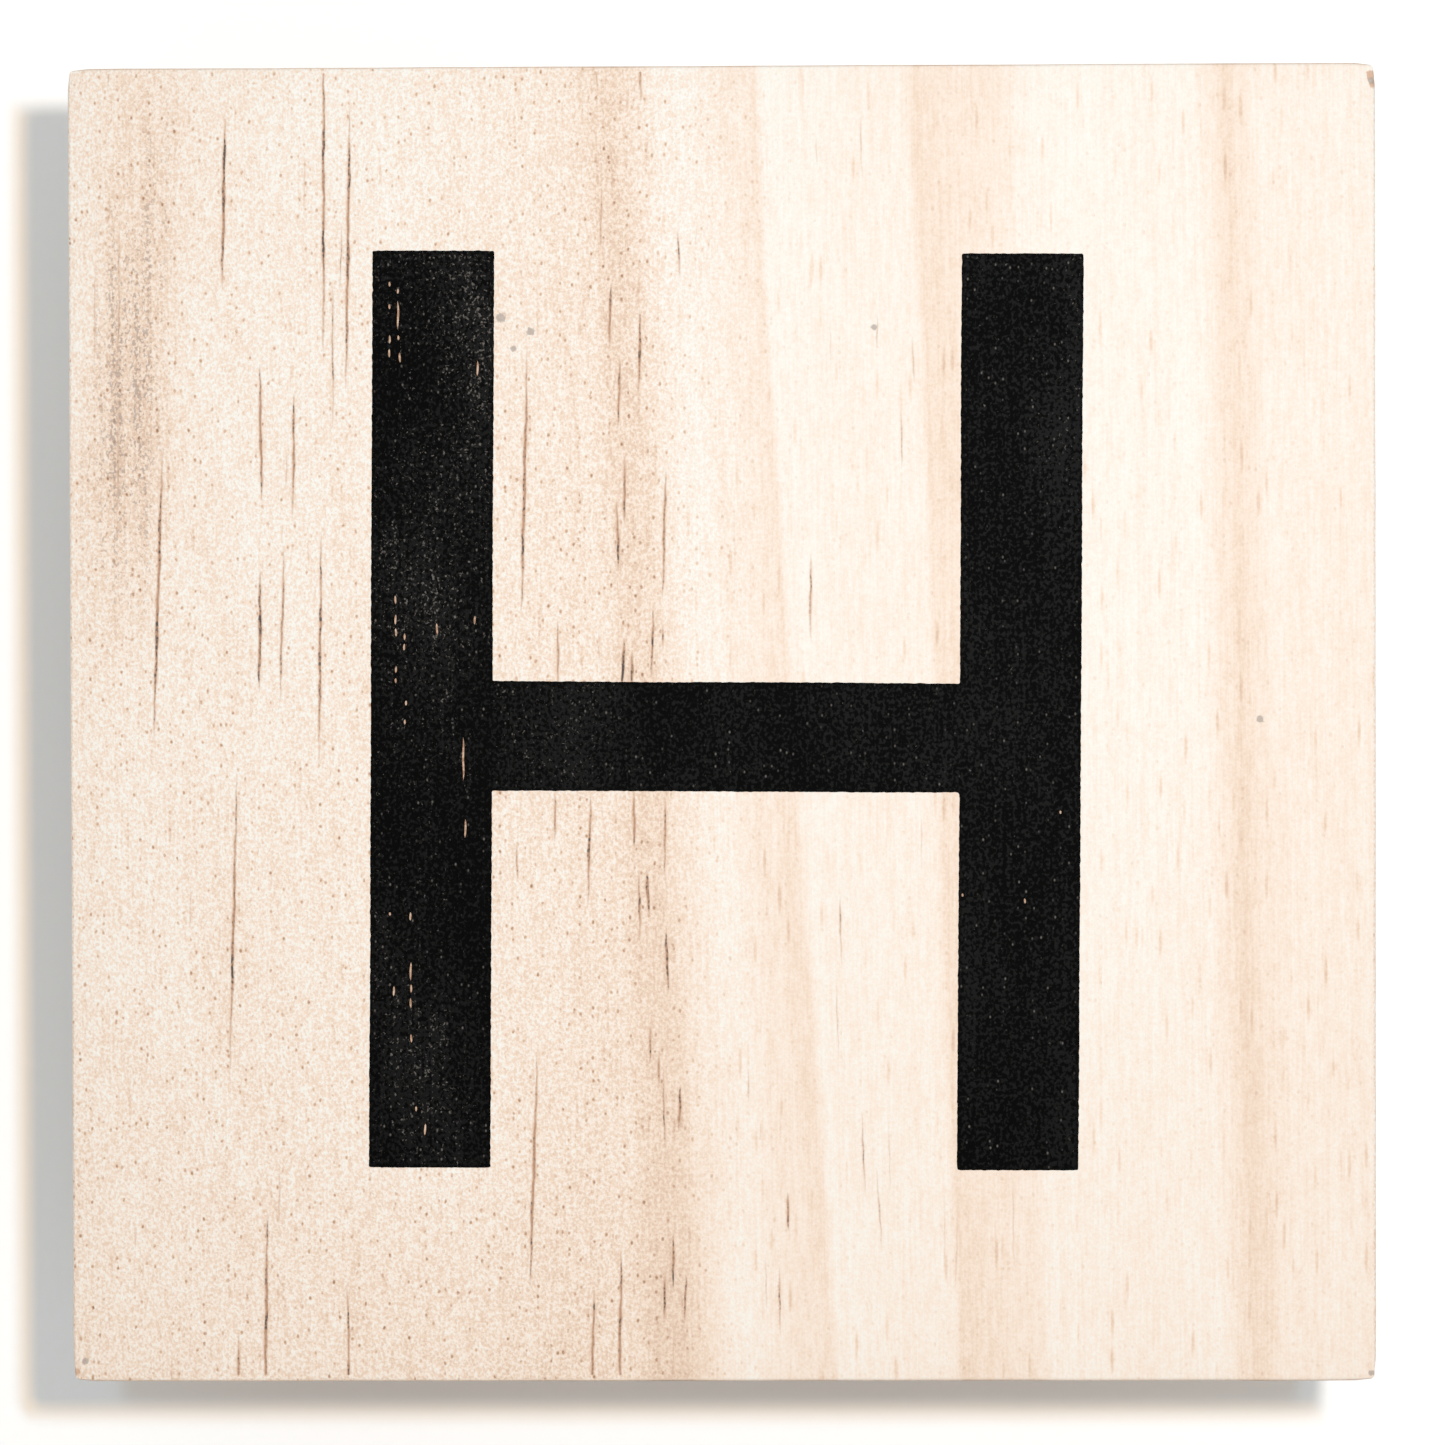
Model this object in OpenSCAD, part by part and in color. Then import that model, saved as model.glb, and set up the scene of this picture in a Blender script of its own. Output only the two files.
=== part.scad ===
// Wood-mounted rubber letter stamp, standing on its printing face.
// X runs across the wood's grain, Y runs along it and Z is up. The origin lies on the plane
// of the printing face, under the middle of the block. All sizes are in millimetres.

/* [Block] */
// Width of the wooden block, across the grain
block_w = 75.9; // [60:0.1:100]
// Length of the wooden block, along the grain
block_l = 76.2; // [64:0.1:100]
// Thickness of the wooden block
block_t = 19; // [16:0.5:28]
// Radius that sanding leaves on the block's long and cut edges
edge_r = 0.2; // [0.1:0.1:1]
// Radius of the block's four upright corners
corner_r = 0.6; // [0.3:0.1:1.5]

/* [Finger grooves] */
// Radius of the cutter that mills the cove in each side
groove_r = 8.5; // [7.5:0.5:12]
// Depth of each cove
groove_depth = 2.5; // [1.5:0.1:2.5]

/* [Letter] */
// Width over both stems
letter_w = 41.2; // [32:0.1:48]
// Height of the letter
letter_h = 53.2; // [40:0.1:58]
// Width of each stem
stem_w = 7; // [5:0.1:9]
// Thickness of the crossbar
bar_t = 6.3; // [4:0.1:9]
// How far the crossbar lies below the letter's middle
bar_drop = 1.5; // [0:0.1:4]

/* [Index print] */
// Depth that the ink soaks into the block's top
print_t = 0.05; // [0.03:0.01:0.1]
// How far the print lies off the block's middle, across the grain
print_x = 0.16; // [-1:0.01:1]
// How far the print lies off the block's middle, along the grain
print_y = 0.73; // [-1:0.01:1]
// Turn of the print against the block, in degrees
print_turn = -0.42; // [-1:0.01:1]

/* [Rubber die] */
// Height that the letter stands out of the die's web
relief_h = 1.6; // [1.2:0.1:2]
// Slope of the letter's side walls, in degrees from upright
relief_draft = 12; // [5:1:20]
// Thickness of the die's web
web_t = 0.9; // [0.7:0.1:1.2]
// Margin at which the die and cushion are trimmed round the letter
trim_margin = 1.5; // [1:0.1:2.5]
// Radius of the trimmed outline's outer corners
trim_r = 1.2; // [0.8:0.1:1.5]

/* [Cushion] */
// Thickness of the foam cushion
cushion_t = 3.2; // [2:0.1:4]
// Thickness of each adhesive film
film_t = 0.13; // [0.05:0.01:0.25]

/* [Hidden] */
$fn = 64;
// How far a cutting shape runs past what it cuts
cut = 1;

// Heights of the layers, from the printing face up
web_z = relief_h;
die_film_z = web_z + web_t;
cushion_z = die_film_z + film_t;
block_film_z = cushion_z + cushion_t;
block_z = block_film_z + film_t;
top_z = block_z + block_t;

// Distance of each stem's middle line from the letter's
stem_x = (letter_w - stem_w) / 2;
// How much wider a wall is at its foot than at the printing face
flare = relief_h * tan(relief_draft);

// A rectangle about the origin with round corners.
module rounded_rectangle(w, l, r) {
    square([w - 2 * r, l], center = true);
    square([w, l - 2 * r], center = true);
    for (x = [-1, 1], y = [-1, 1])
        translate([x * (w / 2 - r), y * (l / 2 - r)])
            circle(r);
}

// The block's section across the grain, with a cove for the fingers in each side.
module block_section() {
    difference() {
        rounded_rectangle(block_w, block_t, edge_r);
        for (side = [-1, 1])
            translate([side * (block_w / 2 + groove_r - groove_depth), 0])
                circle(groove_r);
    }
}

// The letter's outline at its true size.
module letter_outline() {
    for (side = [-1, 1])
        translate([side * stem_x, 0])
            square([stem_w, letter_h], center = true);
    translate([0, -bar_drop])
        square([2 * stem_x, bar_t], center = true);
}

// The outline that the die, the cushion and both films are trimmed to.
module trimmed_outline() {
    for (side = [-1, 1])
        translate([side * stem_x, 0])
            rounded_rectangle(stem_w + 2 * trim_margin, letter_h + 2 * trim_margin, trim_r);
    translate([0, -bar_drop])
        square([2 * stem_x, bar_t + 2 * trim_margin], center = true);
}

// The printed letter, in its place on the block.
module placed_letter(height) {
    translate([print_x, print_y, top_z - print_t])
        rotate(print_turn)
            linear_extrude(height)
                letter_outline();
}

// One sheet of the pad under the block, trimmed to the shared outline.
module pad_layer(z, thickness) {
    translate([0, 0, z])
        linear_extrude(thickness)
            trimmed_outline();
}

// A wall's section: as wide as the letter at the printing face, and flared at its foot.
module wall_section(width) {
    polygon([
        [-width / 2, 0],
        [width / 2, 0],
        [width / 2 + flare, relief_h],
        [-width / 2 - flare, relief_h]
    ]);
}

// A stem of the raised letter, with all four walls sloped.
module raised_stem() {
    intersection() {
        rotate([90, 0, 0])
            linear_extrude(letter_h + 2 * flare, center = true)
                wall_section(stem_w);
        rotate([90, 0, 90])
            linear_extrude(stem_w + 2 * flare, center = true)
                wall_section(letter_h);
    }
}

// The crossbar of the raised letter, which runs into both stems.
module raised_bar() {
    translate([0, -bar_drop, 0])
        rotate([90, 0, 90])
            linear_extrude(2 * stem_x, center = true)
                wall_section(bar_t);
}

module wood_block() {
    color("blanchedalmond")
        difference() {
            translate([0, 0, block_z + block_t / 2])
                intersection() {
                    rotate([90, 0, 0])
                        linear_extrude(block_l, center = true)
                            block_section();
                    rotate([90, 0, 90])
                        linear_extrude(block_w, center = true)
                            rounded_rectangle(block_l, block_t, edge_r);
                    linear_extrude(block_t, center = true)
                        rounded_rectangle(block_w, block_l, corner_r);
                }
            placed_letter(print_t + cut);
        }
}

module index_print() {
    color("#121212")
        placed_letter(print_t);
}

module block_adhesive() {
    color("ivory")
        pad_layer(block_film_z, film_t);
}

module foam_cushion() {
    color("gainsboro")
        pad_layer(cushion_z, cushion_t);
}

module die_adhesive() {
    color("ivory")
        pad_layer(die_film_z, film_t);
}

module rubber_die() {
    color("firebrick") {
        pad_layer(web_z, web_t);
        raised_bar();
        for (side = [-1, 1])
            translate([side * stem_x, 0, 0])
                raised_stem();
    }
}

wood_block();
index_print();
block_adhesive();
foam_cushion();
die_adhesive();
rubber_die();
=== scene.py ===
"""Looks of the wood-mounted letter stamp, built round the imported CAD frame.

Lengths are in millimetres, and turn into metres only where they are handed to Blender.
X runs across the grain, Y along it, and Z up from the printing face.
"""

import math

import bmesh
import bpy
import numpy as np
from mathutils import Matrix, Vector, noise
from mathutils.geometry import delaunay_2d_cdt


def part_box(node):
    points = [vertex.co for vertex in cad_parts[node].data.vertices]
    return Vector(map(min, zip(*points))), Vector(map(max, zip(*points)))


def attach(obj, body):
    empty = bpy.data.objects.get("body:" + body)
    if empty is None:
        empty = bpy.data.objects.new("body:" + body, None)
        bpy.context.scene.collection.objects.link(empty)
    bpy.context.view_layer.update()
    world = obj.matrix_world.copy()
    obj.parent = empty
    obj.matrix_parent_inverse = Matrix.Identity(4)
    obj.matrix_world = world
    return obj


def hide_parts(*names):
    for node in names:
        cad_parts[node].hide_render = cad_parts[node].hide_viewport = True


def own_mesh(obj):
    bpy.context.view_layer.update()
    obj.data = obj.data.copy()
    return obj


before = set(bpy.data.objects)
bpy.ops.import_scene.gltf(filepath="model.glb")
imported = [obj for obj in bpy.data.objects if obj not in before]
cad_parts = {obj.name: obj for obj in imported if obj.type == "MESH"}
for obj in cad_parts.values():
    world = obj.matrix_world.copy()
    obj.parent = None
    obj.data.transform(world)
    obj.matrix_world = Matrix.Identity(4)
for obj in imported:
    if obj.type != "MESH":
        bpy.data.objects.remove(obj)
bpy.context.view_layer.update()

MM = 0.001  # metres in a millimetre
TINY = 1e-6  # anything smaller is only rounding

# ---------- sizes, from the frame


def box_of(node):
    """Lowest and highest corner of a CAD node, in millimetres."""
    low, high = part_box(node)
    return np.array(low) / MM, np.array(high) / MM


def printing_face():
    """Where the letter's edges lie across and along the block, from the die's lowest points."""
    points = [v.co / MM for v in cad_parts["rubber_die"].data.vertices]
    lowest = [p for p in points if round(p.z, 2) == 0]
    across = sorted({round(p.x, 2) for p in lowest})
    along = sorted({round(p.y, 2) for p in lowest})
    return across, along


def print_placing():
    """The index print's middle, and how far it is turned against the block."""
    low, high = box_of("index_print")
    points = [v.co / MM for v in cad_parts["index_print"].data.vertices]
    top_left = max(points, key=lambda p: p.y)
    top_right = max(points, key=lambda p: p.x)
    side = top_right - top_left
    return (low + high)[:2] / 2, math.atan2(side.y, side.x)


wood_low, wood_high = box_of("wood_block")
half_width, half_length, block_top = wood_high
block_bottom = wood_low[2]
block_middle = (block_bottom + block_top) / 2
letter_x, letter_y = printing_face()
print_middle, print_turn = print_placing()
die_top = box_of("rubber_die")[1][2]
foam_bottom, foam_top = (corner[2] for corner in box_of("foam_cushion"))
trim_margin = box_of("rubber_die")[1][0] - letter_x[3]

# ---------- chosen sizes and places

# The block's shaping. The first four values are the CAD's.
EDGE_RADIUS = 0.2
CORNER_RADIUS = 0.6
GROOVE_RADIUS = 8.5
GROOVE_DEPTH = 2.5
LIP_RADIUS = 0.3  # of the worn edges where the coves meet the sides
OUT_OF_SQUARE = 0.16  # how much further out each cut end stands at the right than at the left
OVERLONG = 0.12  # how much further out the near end stands than in the CAD
WEAR_REACH = 0.5  # how far in from an edge it is worn
CORNER_REACH = 1.5  # how far in from a corner the extra wear goes

# Spacing of the block's points where its shape needs no more of them
SIDE_SPACING = 0.7
GRAIN_SPACING = 1.0
END_SPACING = 1.5
TOP_SPACING = 1.6

# The die's shaping. The first three values are the CAD's.
RELIEF_HEIGHT = 1.6
RELIEF_DRAFT = math.radians(12)
TRIM_OUTER_RADIUS = 1.2
TRIM_INNER_RADIUS = 0.9
FACE_ROUND = 0.06  # radius of the letter's edges at the printing face
FOOT_ROUND = 0.28  # radius of the fillet at the foot of its walls
PAD_STEP = 0.2  # spacing of the points round the die, the films and the foam
FACE_DEPTH = 0.12  # how far up the walls the ink of earlier prints has crept

# The cushion's knife-cut edge
FOAM_RINGS = 18
FOAM_WAIST = 0.08  # how far the edge curves in
CELL_SIZE = 0.55
CELL_DEPTH = 0.13

# The tree: where its pith lies under the block, and how much it leans along it
PITH_X = -34.5
PITH_DEPTH = 30.0
PITH_TILT = 0.046
# One group of rings swings sideways along the block: its middle, reach and slope
SWING_X = 4.5
SWING_REACH = 9.0
SWING_SLOPE = 0.034

# Resin canals that the sanded top cuts open: place across, upper end, lower end, lean, darkness.
# An end at 41 lies past the block's own, so that canal runs out over the edge.
CANALS = [
    (-35.5, 41.0, 36.2, -0.1, 0.5), (-28.9, 35.5, 25.0, -0.2, 1.0), (-23.1, 41.0, 21.0, -0.1, 0.9),
    (-24.2, 33.2, 29.5, 0.0, 0.35), (-21.7, 36.0, 19.2, -0.3, 1.0), (-22.6, 26.0, 17.0, 0.0, 0.6),
    (-22.1, 29.2, 24.9, -0.1, 0.45), (-26.8, 21.0, 12.8, 0.1, 1.0), (-24.9, 19.5, 11.9, -0.1, 0.9),
    (-25.3, 16.1, 13.6, 0.0, 0.4), (-26.9, 9.1, 1.7, -0.1, 1.0), (-25.6, 10.6, 1.2, -0.3, 0.8),
    (-23.4, 11.3, -2.7, -0.2, 0.9), (-32.8, 16.4, -1.2, -0.6, 1.0), (-30.4, 2.0, 0.7, 0.0, 0.4),
    (-35.0, 29.3, 20.0, -0.1, 0.5), (-35.1, 19.0, 11.0, -0.1, 0.55), (-36.4, 27.0, 20.5, -0.1, 0.4),
    (-28.5, -2.6, -20.2, -0.5, 0.95), (-31.0, -9.2, -12.0, 0.0, 0.4), (-25.9, -10.6, -11.8, 0.0, 0.3),
    (-25.9, -25.6, -29.2, 0.0, 0.5), (-26.7, -28.2, -41.0, -0.2, 1.0), (-28.3, -35.2, -41.0, 0.0, 0.9),
    (-21.9, -32.4, -41.0, 0.1, 0.85), (-34.3, -28.7, -30.6, 0.0, 0.4), (-7.3, 41.0, 36.2, 0.2, 0.5),
    (-7.0, 31.3, 27.4, -0.1, 0.7), (-6.5, 25.5, 21.7, -0.1, 1.0), (-6.0, 21.3, 17.0, -0.1, 0.9),
    (-4.7, 41.0, 36.0, 0.0, 0.9), (-4.8, 24.2, 18.9, -0.1, 0.9), (-2.5, 28.8, 25.7, 0.1, 0.6),
    (-1.5, 28.8, 27.7, 0.0, 0.5), (-11.5, 22.0, 6.0, -0.4, 1.0), (-5.7, 15.8, 11.4, 0.0, 0.9),
    (-6.1, 13.2, 8.7, 0.1, 0.9), (-3.4, 14.9, 7.0, -0.2, 0.85), (-3.5, 5.9, 4.3, 0.0, 0.7),
    (-4.1, 7.0, 2.5, -0.1, 0.8), (-5.8, 5.1, 1.9, -0.1, 1.0), (-5.3, 4.4, 1.9, 0.0, 0.9),
    (-9.6, 6.2, 1.9, 0.0, 0.8), (-7.2, 5.7, 3.2, 0.0, 0.35), (0.7, 13.5, 5.9, 0.0, 0.2),
    (-9.8, -3.8, -6.9, 0.0, 0.8), (-7.8, -3.8, -10.6, -0.2, 0.9), (-5.2, -3.8, -7.3, 0.0, 1.0),
    (-4.9, -8.4, -12.8, 0.0, 0.8), (-4.4, -8.4, -11.3, 0.2, 1.0), (-4.1, -11.2, -16.3, 0.2, 0.3),
    (-3.4, -3.8, -9.0, 0.0, 0.8), (-3.3, -11.7, -15.8, 0.1, 0.9), (-12.0, -6.8, -9.2, 0.0, 0.7),
    (-4.3, -17.3, -19.8, 0.0, 0.8), (-3.8, -19.0, -21.2, 0.0, 0.9), (-3.5, -19.6, -25.5, 0.1, 0.6),
    (-2.6, -20.9, -23.8, -0.1, 1.0), (-11.1, -19.0, -33.0, -0.5, 1.0), (1.4, -19.9, -22.1, 0.0, 0.5),
    (2.1, -23.2, -24.3, 0.0, 0.6), (-7.7, -32.7, -41.0, -0.2, 1.0), (-6.1, -30.2, -41.0, -0.2, 1.0),
    (-3.5, -31.5, -35.0, -0.1, 0.9), (-3.0, -29.4, -33.0, 0.0, 0.9), (-3.0, -33.2, -41.0, 0.0, 0.4),
    (-2.3, -31.9, -35.2, -0.1, 0.8), (3.7, -27.2, -29.6, 0.1, 0.9), (2.4, -30.8, -34.3, 0.0, 0.4),
    (3.2, -31.5, -35.7, 0.0, 0.6), (5.5, 34.1, 32.1, 0.0, 0.3), (8.1, 35.4, 31.3, 0.1, 0.35),
    (9.0, 23.8, 21.7, 0.0, 0.5), (11.1, 22.5, 19.6, 0.1, 0.5), (6.3, 23.6, 20.4, 0.0, 0.25),
    (10.4, 18.6, 14.6, 0.0, 0.45), (5.1, 9.9, 4.7, 0.0, 0.7), (6.8, -9.9, -14.2, 0.1, 0.5),
    (6.6, -14.8, -19.8, 0.1, 0.4), (11.5, -5.2, -8.8, 0.0, 0.3), (8.1, -22.4, -27.9, 0.2, 0.5),
    (9.0, -25.7, -30.8, 0.3, 0.5), (9.6, -22.7, -27.9, 0.1, 0.35), (13.5, -28.0, -33.0, -0.1, 0.4),
    (12.8, -26.7, -32.7, 0.1, 0.3), (16.8, -26.1, -31.9, 0.1, 0.35), (31.1, 6.5, 1.5, 0.0, 0.2),
    (30.9, 20.3, 15.0, 0.0, 0.2),
]
CANAL_HALF_WIDTH = 0.12  # of the darkest canals, from the middle to a bank
CANAL_COLLAR = 2.2  # how far the stain beside a canal reaches, in half widths
CANAL_BANK = 0.3  # a dark canal's value at its banks; above it, the wood is sunk
CANAL_DEPTH = 0.06
CANAL_STATION = 0.6  # spacing of a canal's points along the grain
CANAL_TIP = 0.1  # length over which a canal's end comes to a point
CANAL_REACH = half_length - 1.3 * EDGE_RADIUS  # how far along the block a canal is drawn

# Grey smudges and torn brown spots on the top: place across, place along, radius
SMUDGES = [
    (-12.85, 23.6, 0.6), (-11.1, 22.8, 0.5), (-12.1, 21.8, 0.35), (31.2, 0.2, 0.5), (8.8, 23.0, 0.35),
    (37.65, -37.9, 0.35), (37.7, 37.2, 0.4), (-37.2, -37.0, 0.4),
]
TORN_SPOTS = [
    (-37.7, -37.6, 0.5), (37.7, 37.5, 0.6), (37.8, 37.0, 0.5),
]

# Dashes that the ink has left bare: place across, upper end, lower end
BARE_DASHES = [
    (-18.8, 25.3, 25.0), (-18.8, 24.6, 22.9), (-18.8, 22.6, 22.3), (-18.7, 21.6, 21.0),
    (-19.3, 25.7, 25.4), (-19.3, 24.4, 24.1), (-19.3, 22.6, 22.1), (-19.3, 21.8, 21.3),
    (-14.2, 21.1, 20.2), (-19.0, 7.5, 7.0), (-19.0, 6.4, 5.8), (-19.0, 5.6, 5.1), (-18.5, 5.3, 4.9),
    (-18.5, 4.7, 4.3), (-19.0, 3.4, 3.0), (-19.0, 2.7, 2.4), (-18.4, 1.4, 1.1), (-18.5, 0.3, 0.0),
    (-16.6, 5.9, 5.2), (-14.4, 6.3, 5.8), (-15.1, -0.7, -3.3), (-15.0, -5.5, -6.6),
    (-18.2, -10.9, -11.4), (-18.2, -13.8, -14.9), (-18.2, -15.1, -15.6), (-18.2, -15.9, -16.5),
    (-18.2, -18.0, -18.5), (-19.2, -15.2, -15.8), (-17.4, -23.2, -23.9), (-19.4, -10.9, -11.1),
    (-17.9, -22.2, -22.5), (13.9, -9.9, -10.1), (17.5, -10.2, -10.5), (19.6, -5.1, -5.3),
]
DASH_HALF_WIDTH = 0.058
DASH_POINTS = 7  # along each side of a dash
INK_SPREAD = 0.03  # how far the ink has crept past the letter's edges
INK_RIM = 0.25  # width of the dense rim inside them
INK_ABOVE = 0.012  # how far the ink stands above the wood
INK_BELOW = 0.035  # how far it goes into the wood

# ---------- meshes


def ripple(x, y, z, size, seed=0.0):
    """Smooth unevenness from -1 to 1, with waves of about this size."""
    return noise.noise(Vector((x / size + seed, y / size - seed, z / size + 2 * seed)))


class Surface:
    """Points and the faces between them, which become one closed piece."""

    def __init__(self):
        self.points = []
        self.faces = []

    def add(self, points):
        """Adds points and returns their numbers."""
        first = len(self.points)
        self.points.extend(tuple(map(float, p)) for p in points)
        return list(range(first, len(self.points)))

    def join(self, ring, following, closed=True):
        """Puts a band of faces between two rings of as many points."""
        count = min(len(ring), len(following))
        for i in range(count if closed else count - 1):
            j = (i + 1) % count
            self.faces.append((ring[i], ring[j], following[j], following[i]))

    def fill(self, rim, flat, place, inner=(), edges=()):
        """Closes a rim with triangles that keep to the inner points and edges.
        flat gives a point's two places in the rim's plane, and place puts a new one there back."""
        outline = [flat(self.points[i]) for i in rim]
        count = len(rim)
        around = [(i, (i + 1) % count) for i in range(count)]
        shifted = [(a + count, b + count) for a, b in edges]
        places = [Vector(p) for p in [*outline, *inner]]
        made, _, faces, origins, _, _ = delaunay_2d_cdt(places, around + shifted, [], 0, TINY)
        numbers = []
        for point, origin in zip(made, origins):
            on_rim = [i for i in origin if i < count]
            numbers.append(rim[on_rim[0]] if on_rim else self.add([place(*point)])[0])
        triangles = [tuple(numbers[i] for i in face) for face in faces]
        self.faces.extend(triangles)
        return triangles

    def piece(self, name, material, layers=None, crease=30):
        """Makes the Blender object, with layers of values from 0 to 1 for its material to read."""
        mesh = bpy.data.meshes.new(name)
        mesh.from_pydata([tuple(c * MM for c in p) for p in self.points], [], self.faces)
        mesh.validate()
        for layer, values in (layers or {}).items():
            mesh.attributes.new(layer, "FLOAT", "POINT").data.foreach_set("value", values)
        made = bpy.data.objects.new(name, mesh)
        bpy.context.scene.collection.objects.link(made)
        mesh.materials.append(material)
        face_outwards(mesh)
        mesh.polygons.foreach_set("use_smooth", [True] * len(mesh.polygons))
        mesh.set_sharp_from_angle(angle=math.radians(crease))
        return made


def face_outwards(mesh):
    """Turns every face of a closed mesh to the outside."""
    work = bmesh.new()
    work.from_mesh(mesh)
    bmesh.ops.recalc_face_normals(work, faces=work.faces)
    work.to_mesh(mesh)
    work.free()


def spaced(start, stop, step):
    """Even places strictly between start and stop, about a step apart."""
    count = max(1, round(abs(stop - start) / step))
    return np.linspace(start, stop, count + 1)[1:-1]


def loose_grid(low, high, spacing, shift, wave, seed):
    """Points spaced over a rectangle, each a little off its even place."""
    return [
        (x + shift * ripple(x, y, 0, wave), y + shift * ripple(x, y, seed, wave))
        for x in spaced(low[0], high[0], spacing) for y in spaced(low[1], high[1], spacing)
    ]


# ---------- outlines

ARC_POINTS = 7  # on each round corner of the letter


def letter_loop(grow, outer_radius, inner_radius, step):
    """The letter's outline, grown all round and with round corners: points and outward normals.
    How many there are depends only on step, so that loops of other sizes can be joined to it."""
    (x0, x1, x2, x3), (y0, y1, y2, y3) = letter_x, letter_y
    corners = np.array([
        (x0, y0), (x1, y0), (x1, y1), (x2, y1), (x2, y0), (x3, y0),
        (x3, y3), (x2, y3), (x2, y2), (x1, y2), (x1, y3), (x0, y3),
    ])
    sides = np.roll(corners, -1, 0) - corners
    lengths = np.abs(sides).sum(1)
    ahead = sides / lengths[:, None]
    normals = np.stack([ahead[:, 1], -ahead[:, 0]], 1)
    arcs = []
    for i, corner in enumerate(corners):
        before, after = normals[i - 1], normals[i]
        convex = ahead[i - 1][0] * ahead[i][1] - ahead[i - 1][1] * ahead[i][0] > 0
        reach = outer_radius if convex else -inner_radius
        centre = corner + (grow - reach) * (before + after)
        angles = np.linspace(0, math.pi / 2, ARC_POINTS)
        turns = [math.cos(a) * before + math.sin(a) * after for a in angles]
        arcs.append([(centre + reach * turn, turn) for turn in turns])
    loop = []
    for i, arc in enumerate(arcs):
        start, stop = arc[-1][0], arcs[(i + 1) % len(arcs)][0][0]
        count = round(lengths[i] / step)
        loop += arc
        loop += [(start + (stop - start) * k / count, normals[i]) for k in range(1, count)]
    points, outward = zip(*loop)
    return np.array(points), np.array(outward)


def placed_on_block(points):
    """Moves points from the letter's own place to where the index print lies."""
    c, s = math.cos(print_turn), math.sin(print_turn)
    return np.array(points) @ np.array([[c, s], [-s, c]]) + print_middle


def depth_in_letter(points):
    """How far inside the printed letter's straight edges points lie."""
    c, s = math.cos(print_turn), math.sin(print_turn)
    own = (np.array(points) - print_middle) @ np.array([[c, -s], [s, c]])
    (x0, x1, x2, x3), (y0, y1, y2, y3) = letter_x, letter_y
    bars = [(x0, x1, y0, y3), (x2, x3, y0, y3), (x0, x3, y1, y2)]
    depths = [
        np.minimum.reduce([own[:, 0] - left, right - own[:, 0], own[:, 1] - low, high - own[:, 1]])
        for left, right, low, high in bars
    ]
    return np.maximum.reduce(depths)


def inside(points, outline):
    """Which points lie inside a closed outline."""
    result = np.zeros(len(points), bool)
    x, y = points[:, 0], points[:, 1]
    for (ax, ay), (bx, by) in zip(outline, np.roll(outline, -1, 0)):
        if ay != by:
            crosses = ((ay > y) != (by > y)) & (x < (bx - ax) * (y - ay) / (by - ay) + ax)
            result ^= crosses
    return result


# ---------- the block


def canal_line(canal, y):
    """A canal's middle, half width and strength at places along the grain."""
    x, upper, lower, lean, dark = canal
    share = np.clip((upper - y) / (upper - lower), 0, 1)
    sway = 0.02 * np.sin(1.3 * y + 3 * x) + 0.02 * np.sin(4.3 * y + x)
    swell = 0.85 + 0.15 * np.sin(2.9 * y + 5 * x)
    fullness = np.sin(math.pi * share) ** 0.5
    half = CANAL_HALF_WIDTH * (0.6 + 0.4 * dark) * swell * (0.7 + 0.3 * fullness)
    return x + lean * (share - 0.5) + sway, half, dark * fullness


def canal_field(points):
    """How near points of the top lie to a canal: 1 in a dark one's middle, 0 outside its collar."""
    x, y = points[:, 0], points[:, 1]
    nearness = np.zeros(len(points))
    for canal in CANALS:
        middle, half, strength = canal_line(canal, y)
        profile = np.interp(np.abs(x - middle) / half, [0, 1, CANAL_COLLAR], [1, CANAL_BANK, 0])
        nearness = np.maximum(nearness, profile * strength)
    # The tips of canals that run off the block lie at the reach, level with the top
    return np.where(np.abs(y) < CANAL_REACH - CANAL_TIP / 10, nearness, 0)


def canal_lines():
    """Points and edges that the top's triangles keep to: each canal's bed, banks and collars."""
    points, edges = [], []
    for canal in CANALS:
        upper, lower = np.clip(canal[1:3], -CANAL_REACH, CANAL_REACH)
        ends = [(canal_line(canal, y)[0], y) for y in (upper, lower)]
        first_open, last_open = upper - CANAL_TIP, lower + CANAL_TIP
        along = [first_open, *spaced(first_open, last_open, CANAL_STATION), last_open]
        for side in (-CANAL_COLLAR, -1, 0, 1, CANAL_COLLAR):
            line = [ends[0]]
            for y in along:
                middle, half, _ = canal_line(canal, y)
                line.append((middle + side * half, y))
            line.append(ends[1])
            first = len(points)
            points += line
            edges += [(first + i, first + i + 1) for i in range(len(line) - 1)]
    return points, edges


def ink_outline():
    """The print's outline, with the slight raggedness of ink on wood."""
    points, outward = letter_loop(INK_SPREAD, outer_radius=0.12, inner_radius=0.1, step=0.13)
    wander = [
        0.03 * ripple(x, y, 0, 9) + 0.03 * ripple(x, y, 0, 0.35) + 0.025 * ripple(x, y, 5, 0.14)
        for x, y in points
    ]
    return placed_on_block(points + outward * np.array(wander)[:, None])


def dash_outline(dash):
    """The outline of a bare dash in the print: a narrow spindle."""
    x, upper, lower = dash
    along = np.linspace(upper, lower, DASH_POINTS)
    half = DASH_HALF_WIDTH * np.sin(math.pi * np.linspace(0, 1, DASH_POINTS)) ** 0.4
    middle = x + 0.02 * np.sin(4 * along)
    left = np.stack([middle - half, along], 1)
    right = np.stack([middle + half, along], 1)[1:-1]
    return np.concatenate([left, right[::-1]])


def ring_of_edges(first, count):
    """The edges that close so many points, numbered from the first on, into a ring."""
    return [(first + i, first + (i + 1) % count) for i in range(count)]


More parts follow.
